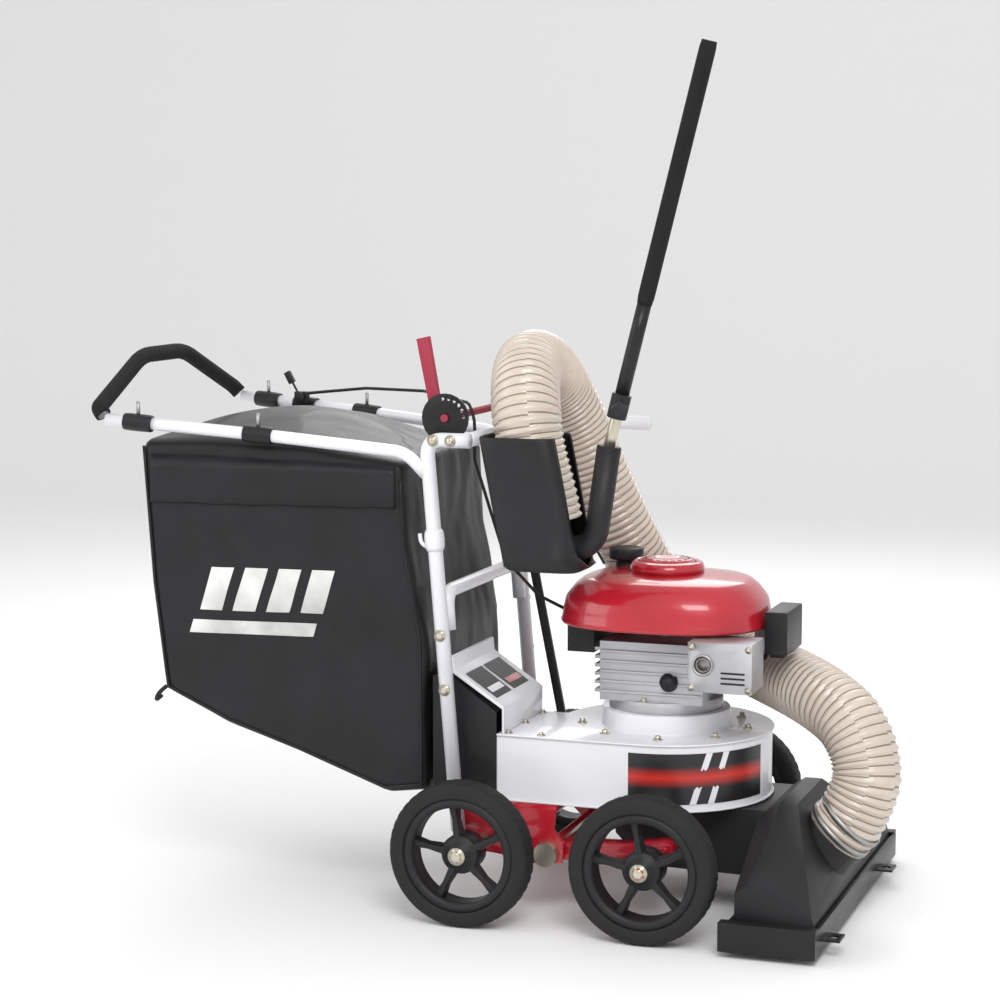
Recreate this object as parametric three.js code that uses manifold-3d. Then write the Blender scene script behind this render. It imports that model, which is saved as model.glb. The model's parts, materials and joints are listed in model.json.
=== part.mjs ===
// Walk-behind leaf vacuum and mulcher: a petrol engine spins a bladed impeller in a round housing,
// which draws leaves up through a wide floor nozzle or a long hose and blows them into a rear bag.
// Millimetres; +X is forward (the nozzle end), +Y the machine's left, +Z up, ground at z = 0.
// The machine is drawn from its front wheels' centre line and moved back to its own middle at the end.
import * as THREE from 'three';
import { mergeVertices } from 'three/addons/utils/BufferGeometryUtils.js';
import { ConvexGeometry } from 'three/addons/geometries/ConvexGeometry.js';
import Module from 'manifold-3d';

// ---- driving dimensions -------------------------------------------------------------------------
const FORWARD = 336;              // front wheels ahead of the machine's middle
const GAP = 0.3;                  // clearance between pieces that touch

const WHEEL_R = 127;              // ten-inch wheels
const WHEEL_Y = 318;              // middle of a wheel
const TYRE_WIDTH = 50;
const RIM_R = 99;
const HUB_BORE_R = 8.5;
const AXLE_R = 8;
const REAR_AXLE_X = -324;

const PIVOT_X = -205;             // the front arm's pivot, level with the chassis' lower edge
const PIVOT_Z = 110;
const PIVOT_R = 10;
const ARM_INNER_Y = 152;
const ARM_OUTER_Y = 190;
const CHASSIS_Y = 196;            // inner faces of the chassis side plates
const PLATE = 6;

const POST_Y = 218;               // half the spacing of the two uprights
const POST_R = 13;
const POST_FOOT = { x: -367, z: 140 };
const POST_LEAN = -0.0837;        // how far an upright moves back for each millimetre up
const FRAME_TOP_Z = 829;
const RAIL_R = 11;
const HANDLE_END_X = -1012;
const HANDLE_TOP = { x: -1043, y: 85, z: 955 };
const FOAM_R = 15;

const HOUSING_X = -50;            // the impeller's axis
const HOUSING_R = 190;
const HOUSING_Z0 = 193;
const HOUSING_Z1 = 312;
const SHEET = 3.5;                // housing sheet thickness
const OUTLET_X = -305;
const OUTLET_Y0 = -190;
const OUTLET_Y1 = 20;
const INLET_R = 84;
const BOSS_R = 115;
const BOSS_Z1 = 345;

const TRAY = { x0: 139, x1: 303, y: 355.5, z0: 11, z1: 60, wall: 3 };
const RING_REACH = 29;            // how far the pull rings stand out of the tray
const NOZZLE_HALF = 326;
const PORT = { x: 262, y: -60, z: 134, r: 56, wall: 4 };
const PORT_AXIS = new THREE.Vector3(0.62, 0, 0.785).normalize();
const HOSE_R = 62;
const HOSE_WALL = 3.4;

const LEVER = { x: -396, z: 866 };
const ROD_Y = 75;
const ROD_TOP = { x: -384, z: 857 };
const ROD_FOOT = { x: -239, z: 139 };

const POLE_FOOT = new THREE.Vector3(-99, -198, 826);
const POLE_TOP = new THREE.Vector3(70, -198, 1504);
const POLE_DIR = POLE_TOP.clone().sub(POLE_FOOT).normalize();

// ---- colours ------------------------------------------------------------------------------------
const paint = (colour, roughness, metalness) =>
  new THREE.MeshStandardMaterial({ color: colour, roughness, metalness });
const white = () => paint(0xd9dade, 0.4, 0.1);
const red = () => paint(0x9c141f, 0.4, 0.1);
const black = () => paint(0x0c0c0d, 0.6, 0);
const rubber = () => paint(0x0a0a0a, 0.85, 0);
const zinc = () => paint(0xb3b0a2, 0.35, 0.9);
const alloy = () => paint(0x9c9da0, 0.45, 0.85);

// ---- booleans -----------------------------------------------------------------------------------
const wasm = await Module();
wasm.setup();

function toSolid(geometry) {
  const bare = geometry.clone();
  bare.deleteAttribute('normal');
  bare.deleteAttribute('uv');
  const merged = mergeVertices(bare, 1e-4);
  const vertProperties = new Float32Array(merged.attributes.position.array);
  const triVerts = new Uint32Array(merged.index.array);
  const solid = new wasm.Manifold(new wasm.Mesh({ numProp: 3, vertProperties, triVerts }));
  if (solid.volume() >= 0) return solid;
  for (let i = 0; i < triVerts.length; i += 3) {
    const kept = triVerts[i];
    triVerts[i] = triVerts[i + 1];
    triVerts[i + 1] = kept;
  }
  return new wasm.Manifold(new wasm.Mesh({ numProp: 3, vertProperties, triVerts }));
}

function toGeometry(solid) {
  const mesh = solid.getMesh();
  const geometry = new THREE.BufferGeometry();
  geometry.setAttribute('position', new THREE.BufferAttribute(mesh.vertProperties, 3));
  geometry.setIndex(new THREE.BufferAttribute(mesh.triVerts, 1));
  return geometry;
}

const join = (...shapes) => toGeometry(shapes.map(toSolid).reduce((a, b) => a.add(b)));
const cut = (body, ...tools) => {
  const rest = tools.map(toSolid).reduce((left, tool) => left.subtract(tool), toSolid(body));
  return toGeometry(rest);
};

// ---- shapes -------------------------------------------------------------------------------------
const at = (x, y, z) => new THREE.Vector3(x, y, z);

function block(x0, x1, y0, y1, z0, z1) {
  const box = new THREE.BoxGeometry(x1 - x0, y1 - y0, z1 - z0);
  return box.translate((x0 + x1) / 2, (y0 + y1) / 2, (z0 + z1) / 2);
}

// A round bar or disc from one point to another.
function bar(from, to, radius, sides = 16) {
  const along = to.clone().sub(from);
  const shape = new THREE.CylinderGeometry(radius, radius, along.length(), sides);
  const turn = new THREE.Quaternion().setFromUnitVectors(at(0, 1, 0), along.clone().normalize());
  const middle = from.clone().add(to).multiplyScalar(0.5);
  return shape.applyQuaternion(turn).translate(middle.x, middle.y, middle.z);
}

// A body of revolution about +Z from (radius, height) pairs.
function turned(profile, sides = 32) {
  const points = profile.map(([r, h]) => new THREE.Vector2(r, h));
  return new THREE.LatheGeometry(points, sides).rotateX(Math.PI / 2);
}

// The solid that wraps a set of corners.
const wrap = (corners) => new ConvexGeometry(corners.map(([x, y, z]) => at(x, y, z)));

// A flat outline drawn in X and Z, with its thickness from y0 to y1.
function sidePlate(outline, y0, y1) {
  const shape = new THREE.Shape(outline.map(([x, z]) => new THREE.Vector2(x, z)));
  const plate = new THREE.ExtrudeGeometry(shape, { depth: y1 - y0, bevelEnabled: false });
  return plate.rotateX(Math.PI / 2).translate(0, y1, 0);
}

// A path of straight runs joined by round bends; every straight run is one step.
class BentPath extends THREE.Curve {
  constructor(corners, bendRadius, bendSteps = 4) {
    super();
    this.stations = [corners[0]];
    for (let i = 1; i < corners.length - 1; i++) {
      const before = corners[i - 1].clone().sub(corners[i]);
      const after = corners[i + 1].clone().sub(corners[i]);
      const half = before.angleTo(after) / 2;
      const reach = Math.min(bendRadius / Math.tan(half), before.length() * 0.48, after.length() * 0.48);
      const start = corners[i].clone().add(before.setLength(reach));
      const end = corners[i].clone().add(after.setLength(reach));
      const bend = new THREE.QuadraticBezierCurve3(start, corners[i], end);
      for (let k = 0; k <= bendSteps; k++) this.stations.push(bend.getPoint(k / bendSteps));
    }
    this.stations.push(corners[corners.length - 1]);
  }

  get steps() {
    return this.stations.length - 1;
  }

  getPoint(t) {
    const place = Math.min(t, 1) * this.steps;
    const i = Math.min(Math.floor(place + 1e-9), this.steps - 1);
    return this.stations[i].clone().lerp(this.stations[i + 1], Math.max(place - i, 0));
  }

  getPointAt(u) {
    return this.getPoint(u);
  }

  getTangentAt(u) {
    const i = Math.round(u * this.steps);
    const before = this.stations[Math.max(i - 1, 0)];
    const after = this.stations[Math.min(i + 1, this.steps)];
    const here = this.stations[i];
    const arriving = here.clone().sub(before).normalize();
    return arriving.add(after.clone().sub(here).normalize()).normalize();
  }
}

function ring(radius, sides, innerRadius) {
  const circle = (r) => Array.from({ length: sides }, (_, i) => {
    const angle = (i / sides) * Math.PI * 2;
    return new THREE.Vector2(r * Math.cos(angle), r * Math.sin(angle));
  });
  const shape = new THREE.Shape(circle(radius));
  if (innerRadius) shape.holes.push(new THREE.Path(circle(innerRadius)));
  return shape;
}

// A tube along a bent path; with an inner radius it is hollow.
function tube(corners, radius, { bend = 40, sides = 10, inner = 0, bendSteps = 4 } = {}) {
  const path = new BentPath(corners, bend, bendSteps);
  return new THREE.ExtrudeGeometry(ring(radius, sides, inner), { extrudePath: path, steps: path.steps });
}

const machine = new THREE.Group();

function add(name, geometry, material, group = machine) {
  const mesh = new THREE.Mesh(toGeometry(toSolid(geometry)), material);
  mesh.name = name;
  group.add(mesh);
  return mesh;
}

const SIDES = [{ name: 'right', s: -1 }, { name: 'left', s: 1 }];

// ---- wheels and running gear --------------------------------------------------------------------
function wheel(name, x, side, y = WHEEL_Y) {
  const group = new THREE.Group();
  group.position.set(x, side * y, WHEEL_R);
  machine.add(group);
  const w = TYRE_WIDTH / 2;
  const tread = [[RIM_R, -w], [WHEEL_R - 8, -w], [WHEEL_R, 8 - w],
    [WHEEL_R, w - 8], [WHEEL_R - 8, w], [RIM_R, w]];
  const tyre = turned([...tread, tread[0]], 28).rotateX(-Math.PI / 2);
  add(`${name}_tyre`, tyre, rubber(), group);
  const band = turned([[RIM_R - 14, 2 - w], [RIM_R - GAP, 2 - w], [RIM_R - GAP, w - 2], [RIM_R - 14, w - 2],
    [RIM_R - 14, 2 - w]], 28).rotateX(-Math.PI / 2);
  const hub = bar(at(0, -w * 1.3, 0), at(0, w - 3, 0), 34, 20);
  const spokes = Array.from({ length: 5 }, (_, i) => {
    const spoke = block(20, RIM_R - 8, -9, 9, -8, 8);
    return spoke.rotateY(-(0.47 + (i * Math.PI * 2) / 5));
  });
  const bore = bar(at(0, -60, 0), at(0, 60, 0), HUB_BORE_R, 16);
  const rim = cut(join(band, hub, ...spokes), bore);
  if (side < 0) rim.rotateZ(Math.PI);
  add(`${name}_rim`, rim, black(), group);
}

function axleEnd(x, side, from) {
  const end = side * (WHEEL_Y + TYRE_WIDTH / 2);
  const shaft = bar(at(x, from, WHEEL_R), at(x, end, WHEEL_R), AXLE_R, 16);
  const washer = bar(at(x, end - side * 2.5, WHEEL_R), at(x, end, WHEEL_R), 14, 16);
  const head = bar(at(x, end, WHEEL_R), at(x, end + side * 7, WHEEL_R), 10, 6);
  return join(shaft, washer, head);
}

function rearAxle() {
  add('rear_axle', join(axleEnd(REAR_AXLE_X, -1, 1), axleEnd(REAR_AXLE_X, 1, -1)), zinc());
}

function chassis() {
  const outline = [[-385, 150], [-350, 104], [-300, 100], [-225, 88], [-180, 92], [-178, 128], [-195, 150],
    [-192, 186], [-300, 186], [-330, 170], [-385, 190]];
  const plates = SIDES.map(({ s }) => sidePlate(outline, Math.min(s * CHASSIS_Y, s * (CHASSIS_Y + PLATE)),
    Math.max(s * CHASSIS_Y, s * (CHASSIS_Y + PLATE))));
  const deck = block(-300, -192, -CHASSIS_Y - 1, CHASSIS_Y + 1, 186 - PLATE, HOUSING_Z0 - GAP);
  const axleHole = bar(at(REAR_AXLE_X, -240, WHEEL_R), at(REAR_AXLE_X, 240, WHEEL_R), AXLE_R + GAP, 16);
  const pivotHole = bar(at(PIVOT_X, -240, PIVOT_Z), at(PIVOT_X, 240, PIVOT_Z), PIVOT_R + GAP, 16);
  const rodSlot = block(-262, -222, ROD_Y - 8, ROD_Y + 8, 150, 200);
  add('chassis', cut(join(...plates, deck), axleHole, pivotHole, rodSlot), red());
}

function pivotShaft() {
  const end = CHASSIS_Y + PLATE + GAP;
  const pieces = [bar(at(PIVOT_X, -end - 6, PIVOT_Z), at(PIVOT_X, end + 6, PIVOT_Z), PIVOT_R, 16)];
  for (const { s } of SIDES) {
    pieces.push(bar(at(PIVOT_X, s * end, PIVOT_Z), at(PIVOT_X, s * (end + 22), PIVOT_Z), 21, 20));
  }
  add('pivot_shaft', join(...pieces), zinc());
}

function frontArm() {
  const sleeve = bar(at(PIVOT_X, -ARM_OUTER_Y, PIVOT_Z), at(PIVOT_X, ARM_OUTER_Y, PIVOT_Z), 17, 16);
  const outline = [[PIVOT_X - 8, 95], [-60, 98], [0, 111], [16, 118], [16, 138], [0, 143],
    [-70, 132], [PIVOT_X - 8, 125]];
  const arms = SIDES.map(({ s }) => sidePlate(outline, Math.min(s * ARM_INNER_Y, s * ARM_OUTER_Y),
    Math.max(s * ARM_INNER_Y, s * ARM_OUTER_Y)));
  const ear = sidePlate([[PIVOT_X - 10, 100], [PIVOT_X + 8, 122], [-228, 148], [-246, 148], [-247, 130]],
    ROD_Y - 12, ROD_Y - 6);
  const stubs = SIDES.map(({ s }) => axleEnd(0, s, s * (ARM_OUTER_Y - 10)));
  const bore = bar(at(PIVOT_X, -300, PIVOT_Z), at(PIVOT_X, 300, PIVOT_Z), PIVOT_R + GAP, 16);
  add('front_arm', cut(join(sleeve, ...arms, ear, ...stubs), bore), red());
}

// ---- frame --------------------------------------------------------------------------------------
const postX = (z) => POST_FOOT.x + (z - POST_FOOT.z) * POST_LEAN;

function upright(name, s, forwardX) {
  const foot = at(POST_FOOT.x, s * POST_Y, POST_FOOT.z);
  const corner = at(postX(FRAME_TOP_Z), s * POST_Y, FRAME_TOP_Z);
  const post = tube([foot, corner, at(forwardX, s * POST_Y, FRAME_TOP_Z)], POST_R, { bend: 26, sides: 12 });
  const collar = bar(at(postX(635), s * POST_Y, 635), at(postX(672), s * POST_Y, 672), 18, 12);
  add(name, join(post, collar), white());
}

function frame() {
  upright('right_upright', -1, -344);
  upright('left_upright', 1, -147);
  const inside = POST_Y - POST_R - GAP;
  add('cross_tube', bar(at(-352, GAP - inside, FRAME_TOP_Z), at(-352, inside - GAP, FRAME_TOP_Z), POST_R, 12), white());
  const hoopY = inside - POST_R;
  const corners = [at(-394, -hoopY, 490), at(-399, -hoopY, 559), at(-399, hoopY, 559), at(-394, hoopY, 490)];
  add('hoop_bar', tube(corners, POST_R - GAP, { bend: 40, sides: 12 }), white());
  for (const { name, s } of SIDES) {
    const rail = tube([at(HANDLE_END_X, s * 284, 853), at(-704, s * 248, 829), at(-460, s * 224, 806),
      at(postX(770), s * POST_Y, 765)], RAIL_R, { bend: 60 });
    const post = bar(at(postX(700), s * POST_Y, 700), at(postX(829), s * POST_Y, 829), POST_R + GAP, 12);
    add(`${name}_rail`, cut(rail, post), white());
  }
}

function handlePath() {
  const low = at(-1030, -279, 872);
  const start = at(HANDLE_END_X - 1, -284, 853.5).lerp(low, 0.35);
  const near = [start, low, at(HANDLE_TOP.x, -HANDLE_TOP.y, HANDLE_TOP.z)];
  return [...near, ...near.map((p) => at(p.x, -p.y, p.z)).reverse()];
}

function handle() {
  add('handlebar', tube(handlePath(), RAIL_R, { bend: 30, bendSteps: 3 }), white());
  add('hand_grip', tube(handlePath(), FOAM_R, { bend: 30, bendSteps: 3, inner: RAIL_R + GAP }), rubber());
}

function railSaddle(name, s, x, y, z) {
  const along = at(60, -s * 7, -4.6).normalize();
  const middle = at(x, s * y, z);
  const ends = [-26, 26].map((d) => middle.clone().addScaledVector(along, d));
  const sleeve = cut(bar(ends[0], ends[1], 16, 12),
    bar(ends[0].clone().addScaledVector(along, -9), ends[1].clone().addScaledVector(along, 9), RAIL_R + 1.2, 12));
  const stud = bar(at(x, s * y, z + 13), at(x, s * y, z + 40), 3.5, 8);
  add(name, join(sleeve, stud), black());
}

// ---- height control -----------------------------------------------------------------------------
function heightControl() {
  const disc = bar(at(LEVER.x, -203, LEVER.z), at(LEVER.x, -198, LEVER.z), 43, 24);
  const holes = Array.from({ length: 6 }, (_, i) => {
    const angle = 0.1 + i * 0.32;
    const x = LEVER.x + 34 * Math.cos(angle);
    const z = LEVER.z + 34 * Math.sin(angle);
    return bar(at(x, -210, z), at(x, -190, z), 3.5, 8);
  });
  const hole = bar(at(LEVER.x, -210, LEVER.z), at(LEVER.x, -190, LEVER.z), 8, 12);
  add('detent_plate', cut(disc, hole, ...holes), black());
  const shaft = bar(at(LEVER.x, -207, LEVER.z), at(LEVER.x, ROD_Y - 9, LEVER.z), 7, 12);
  const crank = sidePlate([[-404, 868], [-392, 876], [-376, 858], [-384, 849], [-404, 858]], ROD_Y - 14, ROD_Y - 8);
  const arm = sidePlate([[-406, 858], [-386, 858], [-412, 912], [-426, 906]], -197, -191);
  const grip = sidePlate([[-409, 895], [-428, 889], [-451, 1002], [-429, 1007]], -197, -185);
  add('height_lever', join(shaft, crank, arm, grip), red());
  const top = at(ROD_TOP.x, ROD_Y, ROD_TOP.z);
  const foot = at(ROD_FOOT.x, ROD_Y, ROD_FOOT.z);
  const rod = sidePlate([[top.x - 8, top.z], [top.x + 8, top.z + 2], [foot.x + 8, foot.z], [foot.x - 8, foot.z]],
    ROD_Y - 4, ROD_Y + 4);
  add('height_rod', rod, black());
}

// ---- blower housing -----------------------------------------------------------------------------
function housingOutline(grow) {
  const r = HOUSING_R + grow;
  const back = Math.sqrt(r * r - (OUTLET_Y1 + grow) ** 2);
  const start = Math.atan2(OUTLET_Y1 + grow, -back);
  const points = [];
  const sweep = start + Math.PI / 2;
  for (let i = 0; i <= 30; i++) {
    const angle = start - (sweep * i) / 30;
    points.push(new THREE.Vector2(HOUSING_X + r * Math.cos(angle), r * Math.sin(angle)));
  }
  points.push(new THREE.Vector2(OUTLET_X, OUTLET_Y0 - grow));
  points.push(new THREE.Vector2(OUTLET_X, OUTLET_Y1 + grow));
  return points;
}

function slab(points, z0, z1) {
  const outline = new THREE.Shape(points);
  return new THREE.ExtrudeGeometry(outline, { depth: z1 - z0, bevelEnabled: false }).translate(0, 0, z0);
}

const spindle = (r, z0, z1, sides = 24) => bar(at(HOUSING_X, 0, z0), at(HOUSING_X, 0, z1), r, sides);

function housing() {
  const floorTop = HOUSING_Z0 + SHEET;
  const lidBottom = HOUSING_Z1 - SHEET;
  add('housing_floor', cut(slab(housingOutline(4), HOUSING_Z0, floorTop), spindle(INLET_R, 180, 210, 32)), white());
  const inside = slab(housingOutline(-SHEET), 190, 320);
  const mouth = block(OUTLET_X - 5, OUTLET_X + 10, OUTLET_Y0 + SHEET, OUTLET_Y1 - SHEET, 190, 320);
  add('housing_wall', cut(slab(housingOutline(0), floorTop + GAP, lidBottom - GAP), inside, mouth), white());
  const lid = join(slab(housingOutline(4), lidBottom, HOUSING_Z1), spindle(BOSS_R, lidBottom, BOSS_Z1, 32));
  const hollow = spindle(BOSS_R - 5, 300, BOSS_Z1 - 5, 32);
  add('housing_lid', cut(lid, hollow, spindle(20, 300, 360)), white());
}

function rotor() {
  const crank = join(spindle(12.5, 215, 480, 16), spindle(16, 214, 222, 6));
  add('crankshaft', crank, alloy());
  const backPlate = spindle(163, 292, 297, 32);
  const hub = spindle(28, 232, 295, 20);
  const blades = Array.from({ length: 4 }, (_, i) => {
    const blade = block(24, 160, -3, 3, 206, 294);
    return blade.rotateZ((i * Math.PI) / 2 + 0.3).translate(HOUSING_X, 0, 0);
  });
  add('impeller', cut(join(backPlate, hub, ...blades), spindle(12.5 + GAP, 100, 400, 16)), alloy());
}

function nozzle() {
  const section = (y, x0, x1, z0, z1, ridge, lean) => [[x0, y, z0], [x1, y, z0], [x1 - 4, y, 76],
    [ridge, y, z1], [ridge - 30, y, z1], [x0, y, z1 - lean]];
  const mouth = (t, drop) => {
    const low = 62 - drop;
    const end = (s) => section(s * (NOZZLE_HALF - t), 160 + t, 294 - t, low, 118 - t, 212 - t, 14);
    const mid = (s) => section(s * (100 - t), 146 + t, 298 - t, low, 208 - t, 214 - t, 26);
    return [wrap([...end(-1), ...mid(-1)]), wrap([...mid(-1), ...mid(1)]), wrap([...mid(1), ...end(1)])];
  };
  const neck = (t, back) => {
    const corners = [];
    for (const s of [-1, 1]) {
      for (const [x, y, z] of [[170, 108, 74 + t], [170, 108, 191 - t + back], [-60, 96, 74 + t], [-60, 96, 192.5],
        [-125, 60, 118 + t], [-142 + t, 40, 192.5]]) corners.push([x, s * (y - t), z + (z === 192.5 ? back : 0)]);
    }
    return wrap(corners);
  };
  const portEnd = (d) => at(PORT.x, PORT.y, PORT.z).addScaledVector(PORT_AXIS, d);
  const t = 4;
  const flange = block(146, 298, -NOZZLE_HALF - 20, NOZZLE_HALF + 20, 46, 52);
  const skirt = block(160, 294, -NOZZLE_HALF, NOZZLE_HALF, 50, 64);
  const outer = join(...mouth(0, 0), neck(0, 0), flange, skirt, bar(portEnd(-60), portEnd(50), PORT.r, 24));
  const hollow = join(...mouth(t, 30), neck(t, 0), bar(portEnd(-62), portEnd(60), PORT.r - PORT.wall, 24));
  const eye = spindle(INLET_R - 4, 170, 220, 32);
  add('nozzle', cut(outer, hollow, eye), black());
}

function tray() {
  const { x0, x1, y, z0, z1, wall } = TRAY;
  const floor = block(x0, x1, -y, y, z0, z0 + wall);
  const front = block(x1 - wall, x1, -y, y, z0, z1 - 4);
  const pieces = [floor, front];
  for (const { s } of SIDES) {
    pieces.push(block(x0, x1, Math.min(s * y, s * (y - wall)), Math.max(s * y, s * (y - wall)), z0, z1));
    pieces.push(block(x0, x1, Math.min(s * y, s * (y - 24)), Math.max(s * y, s * (y - 24)), z1 - wall, z1));
  }
  for (const ringY of [-277, 185]) {
    const plate = block(x1 - 1, x1 + RING_REACH, ringY - 22, ringY + 22, 28, 32);
    const eye = bar(at(x1 + 14, ringY, 20), at(x1 + 14, ringY, 40), 10, 6);
    pieces.push(cut(plate, eye));
  }
  add('nozzle_tray', join(...pieces), black());
}

// ---- outlet chute and bag -----------------------------------------------------------------------
function chute() {
  const y0 = OUTLET_Y0 - 2;
  const y1 = OUTLET_Y1 + 2;
  const outline = [[-305.5, 197], [-305.5, 350], [-388, 408], [-424, 408], [-424, 197]];
  const inner = [[-300, 200.5], [-300, 346], [-386, 404.5], [-440, 404.5], [-440, 200.5]];
  add('bag_neck', cut(sidePlate(outline, y0, y1), sidePlate(inner, y0 + 4, y1 - 4)), rubber());
  const cover = [[-295, 312.5], [-291, 312.5], [-291, 360], [-384, 421], [-386, 444], [-394, 444], [-392, 418],
    [-295, 356]];
  add('chute_cover', sidePlate(cover, y0, y1), white());
}

function bag() {
  const half = (x) => 205 + (-470 - x) * 0.118;
  const profile = (t) => [[-964 + t, 822 - t], [-921 + t, 352 + t * 0.6], [-665, 246 + t], [-500, 180 + t],
    [-428 - t, 190 + t], [-430 - t, 480], [-462 - t, 640], [-468 - t, 792 - t]];
  const corners = (t) => {
    const out = [];
    for (const [x, z] of profile(t)) {
      for (const s of [-1, 1]) out.push([x, s * (Math.min(half(x), 262) - t), z]);
    }
    for (const x of [-930 + t, -500 - t]) out.push([x, 60, 858 - t], [x, -60, 858 - t]);
    return out;
  };
  const neckHole = block(-470, -420, OUTLET_Y0 + 6, OUTLET_Y1 - 6, 204, 402);
  add('bag', cut(wrap(corners(0)), wrap(corners(5)), neckHole), rubber());
}

// ---- hose and wand ------------------------------------------------------------------------------
const HOSE_ROUTE = [[275, -60, 150.5], [300, -60, 182], [322, -55, 236], [322, -48, 275], [308, -38, 314],
  [280, -20, 347], [234, 12, 370], [182, 62, 382], [124, 128, 388], [60, 185, 398], [-10, 232, 415],
  [-80, 245, 455], [-128, 236, 505], [-160, 216, 560], [-184, 188, 620], [-212, 160, 695], [-238, 138, 770],
  [-262, 108, 845], [-280, 60, 908], [-286, -10, 948], [-280, -90, 950], [-264, -155, 918], [-250, -190, 870],
  [-238, -198, 810], [-218, -198, 735], [-208, -198, 690]];

function hose() {
  const points = HOSE_ROUTE.map(([x, y, z]) => at(x, y, z));
  const shape = ring(HOSE_R, 12, HOSE_R - HOSE_WALL);
  const extrudePath = new THREE.CatmullRomCurve3(points);
  add('hose', new THREE.ExtrudeGeometry(shape, { extrudePath, steps: 42 }), paint(0xb9ab98, 0.35, 0));
}

function holster() {
  const shell = (t) => wrap([[-322 + t, 842], [-178 - t, 842], [-277 + t, 612 + t], [-132 - t, 612 + t]]
    .flatMap(([x, z]) => [[x, -268 + t, z + (z > 800 ? t : 0)], [x, -128 - t, z + (z > 800 ? t : 0)]]));
  const slot = block(-240, -90, -252, -144, 628, 900);
  add('holster', cut(shell(0), shell(4), slot), black());
}

function wand() {
  const root = at(-203, -198, 642);
  const elbow = tube([root, at(-124, -198, 652), POLE_FOOT], 21, { bend: 60, sides: 12, bendSteps: 6 });
  const cuff = bar(at(-203, -198, 622), at(-207, -198, 676), 56, 24);
  add('wand_elbow', join(cuff, elbow), black());
  const along = (d) => POLE_FOOT.clone().addScaledVector(POLE_DIR, d);
  add('wand_tube', bar(along(4), along(150), 10, 12), zinc());
  const collar = cut(bar(along(50), along(92), 17, 12), bar(along(40), along(100), 10 + GAP, 12));
  add('pole_collar', collar, black());
  const side = at(0.35, -0.94, 0).normalize();
  const knobAt = (d) => along(66).addScaledVector(side, d);
  const star = [bar(knobAt(17.6), knobAt(26), 7, 8), bar(knobAt(25), knobAt(38), 16, 5)];
  add('clamp_knob', join(...star), black());
  const pole = cut(bar(along(93), along(250), 13, 12), bar(along(80), along(240), 10 + GAP, 12));
  add('pole', pole, black());
  add('pole_grip', bar(along(250 + GAP), along(698), 14.5, 14), rubber());
}

// ---- engine -------------------------------------------------------------------------------------
function engine() {
  const flange = spindle(102, BOSS_Z1 + GAP, 366, 32);
  const barrel = block(-148, 40, -88, 88, 364, 470);
  const fins = Array.from({ length: 6 }, (_, i) => block(-160, -146, -80, 80, 376 + i * 15, 382 + i * 15));
  const crankcase = cut(join(flange, barrel, ...fins), spindle(13.2, 300, 500, 16));
  add('crankcase', crankcase, alloy());
  const head = [block(40.3, 112, -56, 40, 384, 462)];
  for (let i = 0; i < 5; i++) head.push(block(44, 108, -64, 48, 388 + i * 15, 393 + i * 15));
  add('cylinder_head', join(...head), alloy());
  add('carburettor', block(112.4, 141.5, -12, 40, 458, 494), alloy());
  add('air_cleaner', join(block(142, 182, -58, 62, 456, 532), block(148, 176, -48, 52, 450, 457)), black());
  const guard = cut(block(38, 150, -182, -98, 408, 494), block(41, 147, -179, -90, 411, 491),
    bar(at(34 + 30, -200, 455), at(34 + 30, -170, 455), 15, 16));
  add('muffler_guard', guard, alloy());
  add('muffler', bar(at(48, -134, 452), at(140, -134, 452), 34, 20), zinc());
}

function shroud() {
  const outline = new THREE.Shape();
  outline.absellipse(-48, -6, 186, 158, 0, Math.PI * 2);
  const skirtPart = new THREE.ExtrudeGeometry(outline, { depth: 66, bevelEnabled: true, bevelThickness: 14,
    bevelSize: 14, bevelOffset: -14, bevelSegments: 2, curveSegments: 14 }).translate(0, 0, 510);
  const inner = new THREE.Shape();
  inner.absellipse(-48, -6, 176, 148, 0, Math.PI * 2);
  const hollow = new THREE.ExtrudeGeometry(inner, { depth: 90, bevelEnabled: false, curveSegments: 14 })
    .translate(0, 0, 480);
  const dome = bar(at(HOUSING_X, 0, 560), at(HOUSING_X, 0, 640), 66, 24);
  const neckHole = bar(at(-150, 80, 560), at(-150, 80, 640), 23, 16);
  add('engine_shroud', cut(skirtPart, hollow, dome, neckHole), red());
  const screen = turned([[0, 560], [64, 560], [64, 596], [50, 608], [0, 612]], 24).translate(HOUSING_X, 0, 0);
  const hollowScreen = turned([[0, 550], [60, 550], [60, 594], [48, 604], [0, 607]], 24).translate(HOUSING_X, 0, 0);
  const slots = Array.from({ length: 8 }, (_, i) => block(26, 44, -3, 3, 590, 640)
    .rotateZ((i * Math.PI) / 4).translate(HOUSING_X, 0, 0));
  add('starter_screen', cut(screen, hollowScreen, ...slots), red());
  const tank = join(block(-214, -164, -70, 116, 444, 494), bar(at(-150, 80, 480), at(-150, 80, 592), 20, 16),
    block(-180, -150, 60, 100, 478, 494));
  add('fuel_tank', tank, black());
  add('fuel_cap', bar(at(-150, 80, 592.5), at(-150, 80, 614), 32, 20), black());
}

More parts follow.
